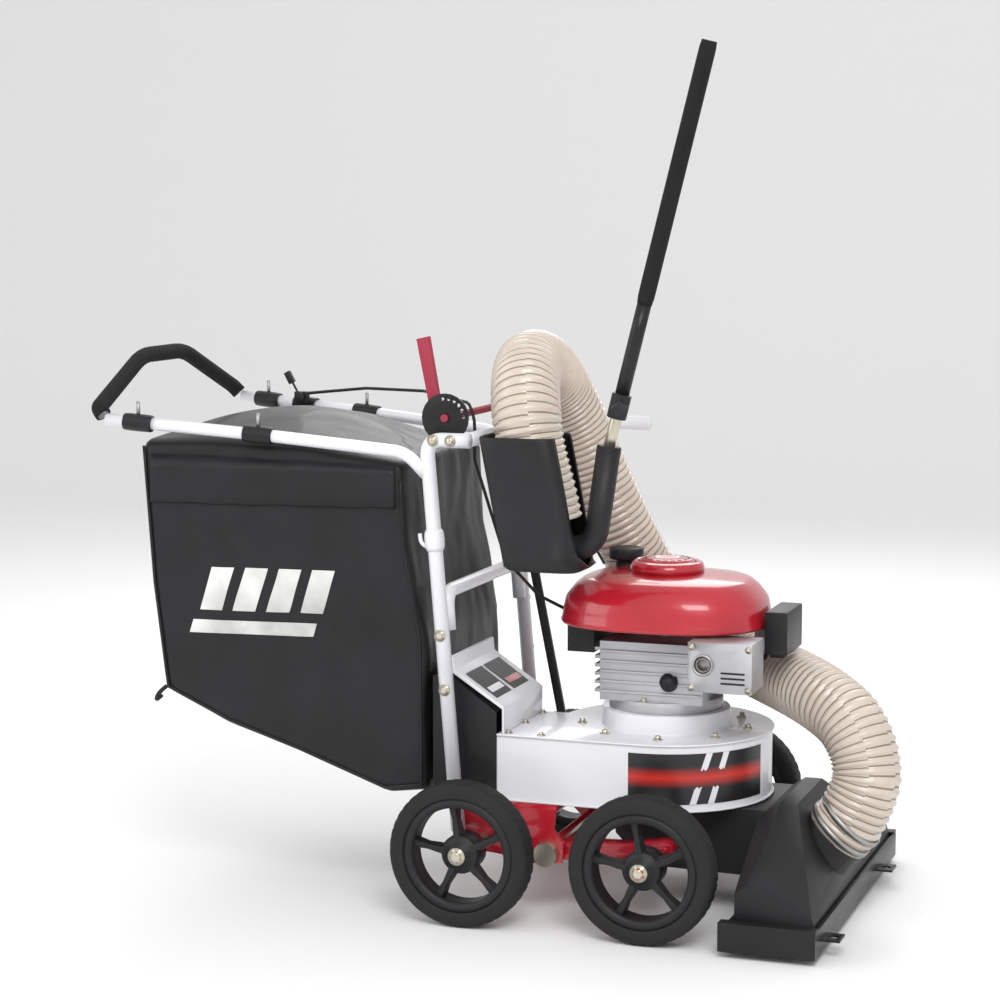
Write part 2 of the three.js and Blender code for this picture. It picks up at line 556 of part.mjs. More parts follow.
// ---- controls -----------------------------------------------------------------------------------
function controls() {
  const post = join(block(-880, -850, 240, 246, 846, 868));
  const clampRing = cut(bar(at(-890, 269.2, 843.5), at(-842, 263.6, 839.8), 15, 12),
    bar(at(-910, 271.5, 845.1), at(-820, 261, 838.1), RAIL_R + 1, 12));
  const lug = block(-878, -854, 244, 256, 846, 868);
  add('throttle_bracket', join(clampRing, lug, post), black());
  const blade = bar(at(-866, 237, 858), at(-884, 237, 890), 2.2, 8);
  const paddle = bar(at(-866, 234, 858), at(-866, 239.6, 858), 9, 12);
  const knob = block(-6, 6, -5, 5, -12, 12).rotateY(-0.5).translate(-888, 237, 896);
  add('throttle_lever', join(blade, paddle, knob), black());
  const cable = [at(-848, 238, 866), at(-720, 222, 880), at(-560, 120, 886), at(-440, -30, 884), at(-392, -90, 884),
    at(-374, -112, 856), at(-372, -118, 786), at(-316, -112, 610), at(-272, -60, 540), at(-236, -20, 512)];
  add('throttle_cable', tube(cable, 3, { bend: 40, sides: 8, bendSteps: 2 }), rubber());
  const ropeEnd = at(-338, 37, 850);
  const ropeStart = at(-170, 10, 592);
  add('starter_rope', bar(ropeStart, ropeEnd, 2.5, 8), rubber());
  add('starter_grip', bar(at(-350, 16, 856), at(-350, 58, 856), 8, 12), black());
}

for (const { name, s } of SIDES) {
  wheel(`front_${name}`, 0, s);
  wheel(`rear_${name}`, REAR_AXLE_X, s);
  railSaddle(`rear_${name}_saddle`, s, -952, 277, 848.2);
  railSaddle(`middle_${name}_saddle`, s, -730, 251, 831.2);
}
rearAxle();
chassis();
pivotShaft();
frontArm();
frame();
handle();
heightControl();
housing();
rotor();
nozzle();
tray();
chute();
bag();
hose();
holster();
wand();
engine();
shroud();
controls();

machine.position.x = FORWARD;
const leafVacuum = new THREE.Group();
leafVacuum.add(machine);
export default leafVacuum;
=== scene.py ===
# Walk-behind leaf vacuum and mulcher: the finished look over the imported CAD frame.
# Lengths in the drawing helpers are millimetres from the front wheels' centre line, as in the CAD source.
import bmesh
import bpy
import json
import math
from mathutils import Matrix, Vector, noise


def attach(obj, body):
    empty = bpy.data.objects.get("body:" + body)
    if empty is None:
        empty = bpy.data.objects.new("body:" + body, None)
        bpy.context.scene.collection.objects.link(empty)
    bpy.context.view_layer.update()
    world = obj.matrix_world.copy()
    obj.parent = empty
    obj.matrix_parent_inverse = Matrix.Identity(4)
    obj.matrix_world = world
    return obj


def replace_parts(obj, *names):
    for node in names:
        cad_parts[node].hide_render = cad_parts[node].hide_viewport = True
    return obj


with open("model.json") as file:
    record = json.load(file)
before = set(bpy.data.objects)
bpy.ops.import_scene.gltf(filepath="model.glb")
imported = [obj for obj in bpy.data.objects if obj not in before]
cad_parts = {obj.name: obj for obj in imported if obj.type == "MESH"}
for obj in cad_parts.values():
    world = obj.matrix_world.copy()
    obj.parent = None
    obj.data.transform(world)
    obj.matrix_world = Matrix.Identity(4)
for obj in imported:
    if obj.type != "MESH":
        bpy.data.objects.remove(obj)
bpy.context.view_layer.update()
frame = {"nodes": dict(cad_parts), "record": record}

FORWARD = 336             # front wheels ahead of the machine's middle
WHEEL_R, WHEEL_Y, TYRE_WIDTH = 127, 318, 50
REAR_AXLE_X = -324
POST_Y, POST_R = 218, 13
FRAME_TOP_Z = 829
RAIL_R, FOAM_R = 11, 15
HOSE_R, HOSE_PITCH = 61.0, 13.0
HOUSING_X, HOUSING_R = -50, 190
HOUSING_TOP_Z = 312
LABEL_Z0, LABEL_Z1 = 207, 296
COVER_X, COVER_Y = -48, -6         # middle of the red engine cover
WAND_Y = -198
SIDES = (("right", -1), ("left", 1))
LENS = 89.94
EYE = (1134.95, -4249.35, 1242.93)
TILT, PAN = 6.8574, 19.4552        # camera's downward tilt and turn, degrees


def at(x, y, z):
    return Vector(((x + FORWARD) / 1000, y / 1000, z / 1000))


# ---- camera, floor and light ---------------------------------------------------------------------
def camera():
    data = bpy.data.cameras.new("camera")
    data.lens = LENS
    eye = bpy.data.objects.new("camera", data)
    bpy.context.collection.objects.link(eye)
    eye.location = at(*EYE)
    eye.rotation_euler = (math.radians(90 - TILT), 0, math.radians(PAN))
    bpy.context.scene.camera = eye


def softbox(name, place, size, power):
    data = bpy.data.lights.new(name, "AREA")
    data.size = size
    data.energy = power
    lamp = bpy.data.objects.new(name, data)
    bpy.context.collection.objects.link(lamp)
    lamp.location = place
    lamp.rotation_euler = (Vector((0, 0, 0.5)) - Vector(place)).to_track_quat("-Z", "Y").to_euler()


def studio():
    """A pale floor that curves up behind the machine, a white world and three soft lights."""
    turns = [math.pi / 2 * k / 16 for k in range(1, 17)]
    curve = [(5 + 3 * math.sin(a), 3 - 3 * math.cos(a)) for a in turns]
    profile = [(-14, 0), (5, 0)] + curve + [(8, 16)]
    verts = [(x, y, z) for y, z in profile for x in (-16, 16)]
    faces = [(2 * i, 2 * i + 1, 2 * i + 3, 2 * i + 2) for i in range(len(profile) - 1)]
    mesh = bpy.data.meshes.new("studio_floor")
    mesh.from_pydata(verts, [], faces)
    for face in mesh.polygons:
        face.use_smooth = True
    floor = bpy.data.objects.new("studio_floor", mesh)
    bpy.context.collection.objects.link(floor)
    pale = surface("studio_pale", (0.9, 0.9, 0.9), 0.95, vary=0.0, grain=20, grain_depth=0.0)
    mesh.materials.append(pale)
    world = bpy.data.worlds.new("studio")
    world.use_nodes = True
    world.node_tree.nodes["Background"].inputs[0].default_value = (1, 1, 1, 1)
    world.node_tree.nodes["Background"].inputs[1].default_value = 0.78
    bpy.context.scene.world = world
    bpy.context.scene.view_settings.view_transform = "Standard"
    softbox("key_light", (1.6, -3.2, 3.4), 2.0, 95)
    softbox("fill_light", (-3.0, -2.4, 2.2), 2.5, 35)
    softbox("back_light", (-0.5, 3.0, 3.0), 2.5, 60)


# ---- materials -----------------------------------------------------------------------------------
def surface(name, colour, roughness, metallic=0.0, vary=0.12, grain=60.0, grain_depth=0.05, coat=0.0,
            gloss=0.5):
    """A material with blotched colour and roughness and a fine bumpy grain."""
    """A shader whose colour, roughness and bump all carry a little procedural variation."""
    m = bpy.data.materials.new(name)
    m.use_nodes = True
    tree = m.node_tree
    shader = tree.nodes["Principled BSDF"]
    shader.inputs["Metallic"].default_value = metallic
    shader.inputs["Coat Weight"].default_value = coat
    shader.inputs["Specular IOR Level"].default_value = gloss
    place = tree.nodes.new("ShaderNodeTexCoord")
    blotch = tree.nodes.new("ShaderNodeTexNoise")
    blotch.inputs["Scale"].default_value = 9
    blotch.inputs["Detail"].default_value = 6
    tree.links.new(place.outputs["Object"], blotch.inputs["Vector"])
    tint = tree.nodes.new("ShaderNodeValToRGB")
    tint.color_ramp.elements[0].position = 0.3
    tint.color_ramp.elements[1].position = 0.7
    tint.color_ramp.elements[0].color = (*[c * (1 - vary) for c in colour], 1)
    tint.color_ramp.elements[1].color = (*[min(c * (1 + vary), 1) for c in colour], 1)
    tree.links.new(blotch.outputs["Fac"], tint.inputs["Fac"])
    tree.links.new(tint.outputs["Color"], shader.inputs["Base Color"])
    rough = tree.nodes.new("ShaderNodeMapRange")
    rough.inputs["To Min"].default_value = max(roughness - 0.08, 0.05)
    rough.inputs["To Max"].default_value = min(roughness + 0.08, 1)
    tree.links.new(blotch.outputs["Fac"], rough.inputs["Value"])
    tree.links.new(rough.outputs["Result"], shader.inputs["Roughness"])
    fine = tree.nodes.new("ShaderNodeTexNoise")
    fine.inputs["Scale"].default_value = grain
    fine.inputs["Detail"].default_value = 4
    tree.links.new(place.outputs["Object"], fine.inputs["Vector"])
    bump = tree.nodes.new("ShaderNodeBump")
    bump.inputs["Strength"].default_value = grain_depth
    bump.inputs["Distance"].default_value = 0.004
    tree.links.new(fine.outputs["Fac"], bump.inputs["Height"])
    tree.links.new(bump.outputs["Normal"], shader.inputs["Normal"])
    return m


def clear_hose():
    m = surface("hose_plastic", (0.60, 0.525, 0.45), 0.26, vary=0.10, grain=160, grain_depth=0.15, coat=0.3)
    shader = m.node_tree.nodes["Principled BSDF"]
    shader.inputs["Subsurface Weight"].default_value = 0.25
    shader.inputs["Subsurface Scale"].default_value = 0.01
    return m


FINISH = {
    "white_paint": surface("white_paint", (0.78, 0.78, 0.82), 0.32, vary=0.03, grain=900, grain_depth=0.03,
                           coat=0.3),
    "red_paint": surface("red_paint", (0.46, 0.012, 0.025), 0.25, vary=0.08, grain=500, grain_depth=0.02,
                         coat=0.6),
    "red_grip": surface("red_grip", (0.32, 0.02, 0.045), 0.55, vary=0.12, grain=700, grain_depth=0.2),
    "tyre_rubber": surface("tyre_rubber", (0.018, 0.018, 0.018), 0.75, vary=0.25, grain=600,
                           grain_depth=0.25, gloss=0.3),
    "black_plastic": surface("black_plastic", (0.016, 0.016, 0.018), 0.42, vary=0.2, grain=1100,
                             grain_depth=0.15, gloss=0.3),
    "black_steel": surface("black_steel", (0.014, 0.014, 0.015), 0.35, vary=0.2, grain=800,
                           grain_depth=0.06, gloss=0.3),
    "foam": surface("foam", (0.014, 0.014, 0.014), 0.9, vary=0.25, grain=1500, grain_depth=0.6, gloss=0.3),
    "vinyl": surface("vinyl", (0.010, 0.010, 0.012), 0.40, vary=0.25, grain=1400, grain_depth=0.25,
                     coat=0.1, gloss=0.3),
    "hose_plastic": clear_hose(),
    "zinc": surface("zinc", (0.62, 0.58, 0.47), 0.32, 0.9, vary=0.15, grain=400, grain_depth=0.08),
    "alloy": surface("alloy", (0.50, 0.50, 0.52), 0.45, 0.85, vary=0.15, grain=500, grain_depth=0.25),
    "steel": surface("steel", (0.40, 0.39, 0.38), 0.4, 0.9, vary=0.2, grain=500, grain_depth=0.15),
    "hose_wire": surface("hose_wire", (0.24, 0.185, 0.14), 0.4, vary=0.2, grain=300, grain_depth=0.1),
    "cable_sheath": surface("cable_sheath", (0.014, 0.014, 0.014), 0.5, vary=0.2, grain=900,
                            grain_depth=0.1, gloss=0.3),
}


def paint_cad():
    for part in frame["record"]["subparts"]:
        node = frame["nodes"][part["node"]]
        node.data.materials.clear()
        node.data.materials.append(FINISH[part["material_slot"]])


# ---- mesh helpers --------------------------------------------------------------------------------
def skin(rings, sides):
    """Faces between closed rings of points."""
    faces = []
    for i in range(rings - 1):
        for k in range(sides):
            j = (k + 1) % sides
            faces.append((i * sides + k, i * sides + j, (i + 1) * sides + j, (i + 1) * sides + k))
    return faces


def grid(rows, columns, flip=False):
    """Faces of a sheet with so many rows and columns of quads, turned over where flip is set."""
    faces = []
    for j in range(rows):
        for i in range(columns):
            a = j * (columns + 1) + i
            quad = (a, a + 1, a + columns + 2, a + columns + 1)
            faces.append(tuple(reversed(quad)) if flip else quad)
    return faces


def piece(name, verts, faces, slot, body="machine", smooth=True, level=0):
    """A named mesh that rides on a body; slot is None where the caller gives the material."""
    mesh = bpy.data.meshes.new(name)
    mesh.from_pydata([tuple(v) for v in verts], [], faces)
    mesh.update()
    obj = bpy.data.objects.new(name, mesh)
    bpy.context.collection.objects.link(obj)
    if isinstance(slot, str):
        mesh.materials.append(FINISH[slot])
    for face in mesh.polygons:
        face.use_smooth = smooth
    if level:
        fine = obj.modifiers.new("fine", "SUBSURF")
        fine.levels = level
        fine.render_levels = level
    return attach(obj, body)


def rounded(corners, reach=30, steps=8):
    """A path through corners (mm points) with each corner turned into a curve."""
    pts = [at(*c) for c in corners]
    out = [pts[0]]
    for a, b, c in zip(pts, pts[1:], pts[2:]):
        into, onto = a - b, c - b
        r = min(reach / 1000, into.length * 0.48, onto.length * 0.48)
        p, q = b + into.normalized() * r, b + onto.normalized() * r
        for k in range(steps + 1):
            t = k / steps
            out.append(p * (1 - t) ** 2 + b * 2 * t * (1 - t) + q * t * t)
    out.append(pts[-1])
    return out


def spline(points, per_span=10):
    """A smooth curve through the points."""
    out = []
    last = len(points) - 1
    for i in range(last):
        p0, p1 = points[max(i - 1, 0)], points[i]
        p2, p3 = points[i + 1], points[min(i + 2, last)]
        for k in range(per_span):
            t = k / per_span
            out.append(0.5 * (2 * p1 + (p2 - p0) * t + (2 * p0 - 5 * p1 + 4 * p2 - p3) * t * t
                              + (3 * p1 - p0 - 3 * p2 + p3) * t ** 3))
    out.append(points[-1].copy())
    return out


def frames(path):
    """A point, a side and an up direction at each place on the path, without twist."""
    out = []
    side = None
    for i, p in enumerate(path):
        ahead = (path[min(i + 1, len(path) - 1)] - path[max(i - 1, 0)]).normalized()
        if side is None:
            side = ahead.orthogonal().normalized()
        side = (side - ahead * side.dot(ahead)).normalized()
        out.append((p, side, ahead.cross(side)))
    return out


def sweep(name, path, radius, slot, body="machine", sides=20, capped=True):
    """A round bar along a path; radius is mm, or a function of place (0 to 1) and angle."""
    verts = []
    stations = frames(path)
    for i, (p, u, v) in enumerate(stations):
        for k in range(sides):
            angle = 2 * math.pi * k / sides
            r = radius(i / (len(stations) - 1), angle) if callable(radius) else radius
            verts.append(p + (u * math.cos(angle) + v * math.sin(angle)) * r / 1000)
    faces = skin(len(stations), sides)
    if capped:
        faces.append(tuple(reversed(range(sides))))
        faces.append(tuple(range(len(verts) - sides, len(verts))))
    return piece(name, verts, faces, slot, body)


def lathe(name, profile, centre, axis, slot, body="machine", sides=48, shape=None):
    """A body of revolution: profile holds (radius, height along axis) pairs in mm."""
    turn = Vector((0, 0, 1)).rotation_difference(Vector(axis).normalized())
    verts = []
    for i, (r, h) in enumerate(profile):
        for k in range(sides):
            angle = 2 * math.pi * k / sides
            rr = shape(i, angle, r) if shape else r
            spot = Vector((rr * math.cos(angle), rr * math.sin(angle), h)) / 1000
            verts.append(at(*centre) + turn @ spot)
    n = len(profile)
    faces = skin(n, sides)
    if profile[0][0] > 0.5 and profile[0] != profile[-1]:
        faces.append(tuple(reversed(range(sides))))
        faces.append(tuple(range((n - 1) * sides, n * sides)))
    return piece(name, verts, faces, slot, body)


def bevelled(name, x0, x1, y0, y1, z0, z1, slot, body="machine", bevel=4.0):
    """A box with rounded edges."""
    corners = [at(x, y, z) for z in (z0, z1) for y in (y0, y1) for x in (x0, x1)]
    quads = [(0, 2, 3, 1), (4, 5, 7, 6), (0, 1, 5, 4), (2, 6, 7, 3), (0, 4, 6, 2), (1, 3, 7, 5)]
    obj = piece(name, corners, quads, slot, body, smooth=True)
    edge = obj.modifiers.new("edge", "BEVEL")
    edge.width = bevel / 1000
    edge.segments = 3
    edge.harden_normals = True
    return obj


def bolt(name, x, y, z, axis, radius=6.5, height=5, body="machine", slot="zinc"):
    """A washer with a domed hexagon head."""
    profile = [(radius * 1.6, 0), (radius * 1.6, 1.6), (radius, 1.7), (radius, height),
               (radius * 0.7, height + 1.2), (0.6, height + 1.2)]

    def hexagon(i, angle, r):
        if i < 2:
            return r
        wedge = (angle % (math.pi / 3)) - math.pi / 6
        return r * math.cos(math.pi / 6) / math.cos(wedge)

    return lathe(name, profile, (x, y, z), axis, slot, body, sides=24, shape=hexagon)


# ---- frame tubes ---------------------------------------------------------------------------------
def post_x(z):
    """Where the leaning uprights stand at a height."""
    return -367 - (z - 140) * 0.0837


def tubes():
    for name, s, forward in (("right", -1, -344), ("left", 1, -147)):
        corners = [(-367, s * POST_Y, 140), (post_x(FRAME_TOP_Z), s * POST_Y, FRAME_TOP_Z),
                   (forward, s * POST_Y, FRAME_TOP_Z)]
        post = sweep(f"{name}_upright_tube", rounded(corners, 30), POST_R, "white_paint")
        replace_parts(post, f"{name}_upright")
        collar = [(post_x(z), s * POST_Y, z) for z in (635, 642, 655, 666, 672)]
        sweep(f"{name}_upright_collar", [at(*c) for c in collar],
              lambda t, a: 13.5 + 4.2 * math.sin(math.pi * min(max(t, 0.02), 0.98)) ** 0.5, "white_paint")
        hook_x = post_x(650)
        hook = [(hook_x - 14, s * POST_Y, 640), (hook_x - 26, s * POST_Y, 648),
                (hook_x - 28, s * POST_Y, 664)]
        sweep(f"{name}_bag_hook", rounded(hook, 8), 3.5, "white_paint")
        rail = [(-1012, s * 284, 853), (-704, s * 248, 829), (-460, s * 224, 806),
                (post_x(770) - 6, s * POST_Y, 768)]
        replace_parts(sweep(f"{name}_rail_tube", rounded(rail, 40), RAIL_R, "white_paint"), f"{name}_rail")
        places = ((-408, FRAME_TOP_Z), (-376, FRAME_TOP_Z), (post_x(487), 487), (post_x(391), 391))
        for i, (x, z) in enumerate(places):
            bolt(f"{name}_frame_bolt_{i}", x, s * (POST_Y + POST_R - 1), z, (0, s, 0))
    hoop = [(-394, -190, 492), (-399, -190, 559), (-399, 190, 559), (-394, 190, 492)]
    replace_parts(sweep("hoop_tube", rounded(hoop, 40), POST_R - 0.4, "white_paint"), "hoop_bar")
    across = [at(-352, y, FRAME_TOP_Z) for y in (-204, 0, 204)]
    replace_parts(sweep("cross_bar", across, POST_R, "white_paint"), "cross_tube")
    grip = [(-1019, -282, 860), (-1030, -279, 872), (-1043, -85, 955)]
    path = rounded(grip + [(x, -y, z) for x, y, z in reversed(grip)], 34, 12)
    foam = sweep("grip_foam", path, lambda t, a: FOAM_R - 0.3 + 0.2 * math.sin(t * 90), "foam")
    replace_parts(foam, "hand_grip")
    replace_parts(sweep("handlebar_tube", path, RAIL_R, "white_paint"), "handlebar")


# ---- wheels --------------------------------------------------------------------------------------
def wheel_spoke(name, body, centre, angle):
    """One tapering spoke, from the hub to the rim, at an angle round the axle."""
    s = 1 if centre.y > 0 else -1
    root = Vector((math.cos(angle), 0, math.sin(angle)))
    across = Vector((-math.sin(angle), 0, math.cos(angle)))
    verts = []
    for r, half, deep in ((24, 11, 14), (60, 7.5, 11), (88, 11, 13)):
        for a, b in ((-half, -deep + 4), (half, -deep + 4), (half * 0.6, deep), (-half * 0.6, deep)):
            verts.append(centre + (root * r + across * a + Vector((0, s * b * 0.9, 0))) / 1000)
    faces = [(0, 1, 2, 3), (8, 11, 10, 9)]
    for j in (0, 4):
        faces += [(j + k, j + 4 + k, j + 4 + (k + 1) % 4, j + (k + 1) % 4) for k in range(4)]
    spoke = piece(name, verts, faces, "black_plastic", body, smooth=False)
    edge = spoke.modifiers.new("edge", "BEVEL")
    edge.width = 0.0025
    edge.segments = 2


def wheels():
    """Treaded tyres on five-spoke plastic wheels."""
    w = TYRE_WIDTH / 2
    section = [(99.5, 1 - w), (103, -w), (118, 0.5 - w), (124, 4 - w), (126.3, 9 - w), (127, 14 - w),
               (127, 0), (127, w - 14), (126.3, w - 9), (124, w - 4), (118, w - 0.5), (103, w),
               (99.5, w - 1), (99.5, 1 - w)]
    rim = [(84, 3 - w), (98.8, 2 - w), (98.8, w - 2), (84, w - 3), (86, 0), (84, 3 - w)]
    hub = [(34, -32), (34, 8), (30, 12), (19, 14), (17, 22), (0.6, 22)]

    def tread(i, angle, r):
        block = math.sin(angle * 44 + (0 if i < 6 else math.pi)) > 0.2
        return r - (1.8 if 3 < i < 9 and block else 0)

    for end, x in (("front", 0), ("rear", REAR_AXLE_X)):
        for side, s in SIDES:
            corner = f"{end}_{side}"
            body = f"{corner}_wheel"
            centre, axle = (x, s * WHEEL_Y, WHEEL_R), (0, s, 0)
            tyre = lathe(f"{body}_tyre_tread", section, centre, axle, "tyre_rubber", body, 176, tread)
            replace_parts(tyre, f"{corner}_tyre")
            ring = lathe(f"{body}_rim_ring", rim, centre, axle, "black_plastic", body, 64)
            lathe(f"{body}_hub", hub, centre, axle, "black_plastic", body, 40)
            for i in range(5):
                wheel_spoke(f"{body}_spoke_{i}", body, at(*centre), 0.47 + i * 2 * math.pi / 5)
            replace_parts(ring, f"{corner}_rim")


# ---- hose ----------------------------------------------------------------------------------------
HOSE_ROUTE = [(275, -60, 150.5), (300, -60, 182), (322, -55, 236), (322, -48, 275), (308, -38, 314),
              (280, -20, 347), (234, 12, 370), (182, 62, 382), (124, 128, 388), (60, 185, 398), (-10, 232, 415),
              (-80, 245, 455), (-128, 236, 505), (-160, 216, 560), (-184, 188, 620), (-212, 160, 695),
              (-238, 138, 770), (-262, 108, 845), (-280, 60, 908), (-286, -10, 948), (-280, -90, 950),
              (-264, -155, 918), (-250, -190, 870), (-238, WAND_Y, 810), (-218, WAND_Y, 735),
              (-208, WAND_Y, 690)]


def even(path, step):
    """The same path with a point every step millimetres."""
    out = [path[0].copy()]
    left = step / 1000
    for a, b in zip(path, path[1:]):
        length = (b - a).length
        gone = 0.0
        while length - gone >= left:
            gone += left
            out.append(a.lerp(b, gone / length))
            left = step / 1000
        left -= length - gone
    return out


def hose():
    """A clear hose with a wire wound round it, one turn in each rib, and two bands at its port."""
    per_rib, sides = 6, 40
    path = even(spline([at(*p) for p in HOSE_ROUTE], 14), HOSE_PITCH / per_rib)
    count = len(path)

    def ribs(t, angle):
        turn = (t * (count - 1) / per_rib) - angle / (2 * math.pi)
        wave = math.cos(2 * math.pi * turn)
        return HOSE_R - 2.6 + 2.4 * max(wave, -0.5) ** (1 if wave < 0 else 1)

    tube = sweep("hose_skin", path, ribs, "hose_plastic", sides=sides, capped=False)
    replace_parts(tube, "hose")
    tube.data.materials.append(FINISH["hose_wire"])
    for n, face in enumerate(tube.data.polygons):
        row, column = divmod(n, sides)
        turn = ((row + 0.5) / per_rib - (column + 0.5) / sides) % 1
        face.material_index = 1 if abs(turn - 0.5) < 0.085 else 0
    for i, d in enumerate((0, 26)):
        direction = (path[4] - path[0]).normalized()
        centre = path[0] + direction * (12 + d) / 1000
        lathe(f"hose_band_{i}", [(58, -5), (HOSE_R + 0.8, -5), (HOSE_R + 0.8, 5), (58, 5), (58, -5)],
              (centre.x * 1000 - FORWARD, centre.y * 1000, centre.z * 1000), direction, "steel", sides=64)


# ---- bag -----------------------------------------------------------------------------------------
BAG_EDGE = 0.975   # how much the outline draws in at the side seams


def bag_half(x):
    """Half the bag's width at a place along its length."""
    return min(205 + (-470 - x) * 0.118, 262)


def bag():
    """A lofted shell through side profiles, crowned on top, sagging and creased on its sides."""
    profile = [(-958, 815), (-940, 560), (-917, 362), (-800, 304), (-665, 256), (-505, 192),
               (-434, 200), (-436, 470), (-466, 640), (-473, 786), (-640, 808), (-800, 816)]
    rows, cols = len(profile) * 8, 49
    outline = []
    for i in range(len(profile)):
        a, b = Vector(profile[i]), Vector(profile[(i + 1) % len(profile)])
        outline += [a.lerp(b, k / 8) for k in range(8)]
    middle = sum(outline, Vector((0, 0))) / len(outline)
    verts, faces = [], []
    for j in range(cols):
        v = -1 + 2 * j / (cols - 1)
        for p in outline:
            half = bag_half(p.x) - 2
            edge = 1 - max(abs(v) - 0.94, 0) / 0.06 * (1 - BAG_EDGE)
            q = middle + (p - middle) * edge
            top = max(0.0, min(1.0, (p.y - 770) / 40))
            rise = math.sin(math.pi * max(0, min(1, (p.x + 965) / 500))) ** 0.6
            crown = 48 * (1 - abs(v) ** 1.6) * top * rise
            crease = (7 * noise.noise(Vector((p.x / 90, v * 3, p.y / 130)))
                      + 3 * noise.noise(Vector((p.x / 30, v * 7, p.y / 55))))
            push = crease if abs(v) < 0.99 else 0
            verts.append(at(q.x + push, v * half, q.y + crown + crease * 0.3 * top))
    for j in range(cols - 1):
        for i in range(rows):
            k = (i + 1) % rows
            faces.append((j * rows + i, j * rows + k, (j + 1) * rows + k, (j + 1) * rows + i))
    for j, flip in ((0, True), (cols - 1, False)):
        side = -1 if flip else 1
        rings = [list(range(j * rows, (j + 1) * rows))]
        for n in range(1, 15):
            shrink = 1 - n / 15
            ring = []
            for p in outline:
                q = middle + (p - middle) * (BAG_EDGE * shrink)
                slack = abs(noise.noise(Vector((q.x / 120, q.y / 150, j))))
                sag = 1.2 + 5.5 * math.sin(math.pi * n / 15) * slack
                fold = 5 * noise.noise(Vector((q.x / 55 + q.y / 140, q.y / 60, j + 3)))
                half = bag_half(q.x) - 2
                ring.append(len(verts))
                verts.append(at(q.x, side * (half - 2 + max(min(sag + fold, 9), -9)), q.y))
            rings.append(ring)
        verts.append(at(middle.x, side * 222, middle.y))
        for a, b in zip(rings, rings[1:]):
            for i in range(rows):
                k = (i + 1) % rows
                quad = (a[i], b[i], b[k], a[k])
                faces.append(quad if flip else tuple(reversed(quad)))
        for i in range(rows):
            tri = (rings[-1][i], len(verts) - 1, rings[-1][(i + 1) % rows])
            faces.append(tri if flip else tuple(reversed(tri)))
    shell = piece("bag_shell", verts, faces, "vinyl", level=1)
    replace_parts(shell, "bag")
    return shell


def bag_mark(shell):
    """A plain mark of leaning bars printed on each side of the bag, in place of any lettering."""
    ink = surface("bag_ink", (0.62, 0.62, 0.6), 0.6, vary=0.35, grain=90, grain_depth=0.02)
    columns, levels, lean, outside = 8, 6, 0.3, 290
    bars = [(-850 + 62 * k, -808 + 62 * k, 512, 590) for k in range(4)] + [(-870, -640, 470, 494)]
    for name, s in (("right", -1), ("left", 1)):
        for number, (x0, x1, z0, z1) in enumerate(bars):
            verts = []
            for j in range(levels + 1):
                z = z0 + (z1 - z0) * j / levels
                for i in range(columns + 1):
                    x = x0 + (x1 - x0) * i / columns - s * lean * (z - z0)
                    verts.append(at(x, s * outside, z))
            faces = grid(levels, columns, flip=s > 0)
            bar = piece(f"{name}_bag_mark_{number}", verts, faces, None)
            bar.data.materials.append(ink)
            wrap = bar.modifiers.new("printed", "SHRINKWRAP")
            wrap.target = shell
            wrap.wrap_method = "PROJECT"
            wrap.use_project_y = True
            wrap.use_negative_direction = True
            wrap.use_positive_direction = True
            wrap.offset = 0.0008


# ---- nozzle, engine covers, labels ---------------------------------------------------------------
def band_on_housing(name, start, end, z0, z1, material, lean=0.0, lift=0.6):
    """A label wrapped on the round wall, from one angle to another; lean shifts its top edge."""
    steps = 40
    r = HOUSING_R + lift
    verts, faces = [], []
    for z, shift in ((z0, 0), (z1, lean)):
        for i in range(steps + 1):
            angle = math.radians(start + shift + (end - start) * i / steps)
            verts.append(at(HOUSING_X + r * math.cos(angle), r * math.sin(angle), z))
    for i in range(steps):
        faces.append((i, i + 1, steps + 2 + i, steps + 1 + i))
    obj = piece(name, verts, faces, None)
    obj.data.materials.append(material)
    return obj


def label_glow():
    """Black film with a soft red streak along its middle, by height."""
    m = surface("label_film", (0.012, 0.012, 0.014), 0.3, vary=0.3, grain=300, grain_depth=0.01)
    tree = m.node_tree
    shader = tree.nodes["Principled BSDF"]
    place = tree.nodes.new("ShaderNodeTexCoord")
    split = tree.nodes.new("ShaderNodeSeparateXYZ")
    tree.links.new(place.outputs["Object"], split.inputs["Vector"])
    ramp = tree.nodes.new("ShaderNodeValToRGB")
    stops = ramp.color_ramp.elements
    stops[0].position, stops[0].color = 0.236, (0.012, 0.012, 0.014, 1)
    stops[1].position, stops[1].color = 0.272, (0.012, 0.012, 0.014, 1)
    glow = ramp.color_ramp.elements.new(0.254)
    glow.color = (0.62, 0.03, 0.02, 1)
    tree.links.new(split.outputs["Z"], ramp.inputs["Fac"])
    tree.links.new(ramp.outputs["Color"], shader.inputs["Base Color"])
    return m


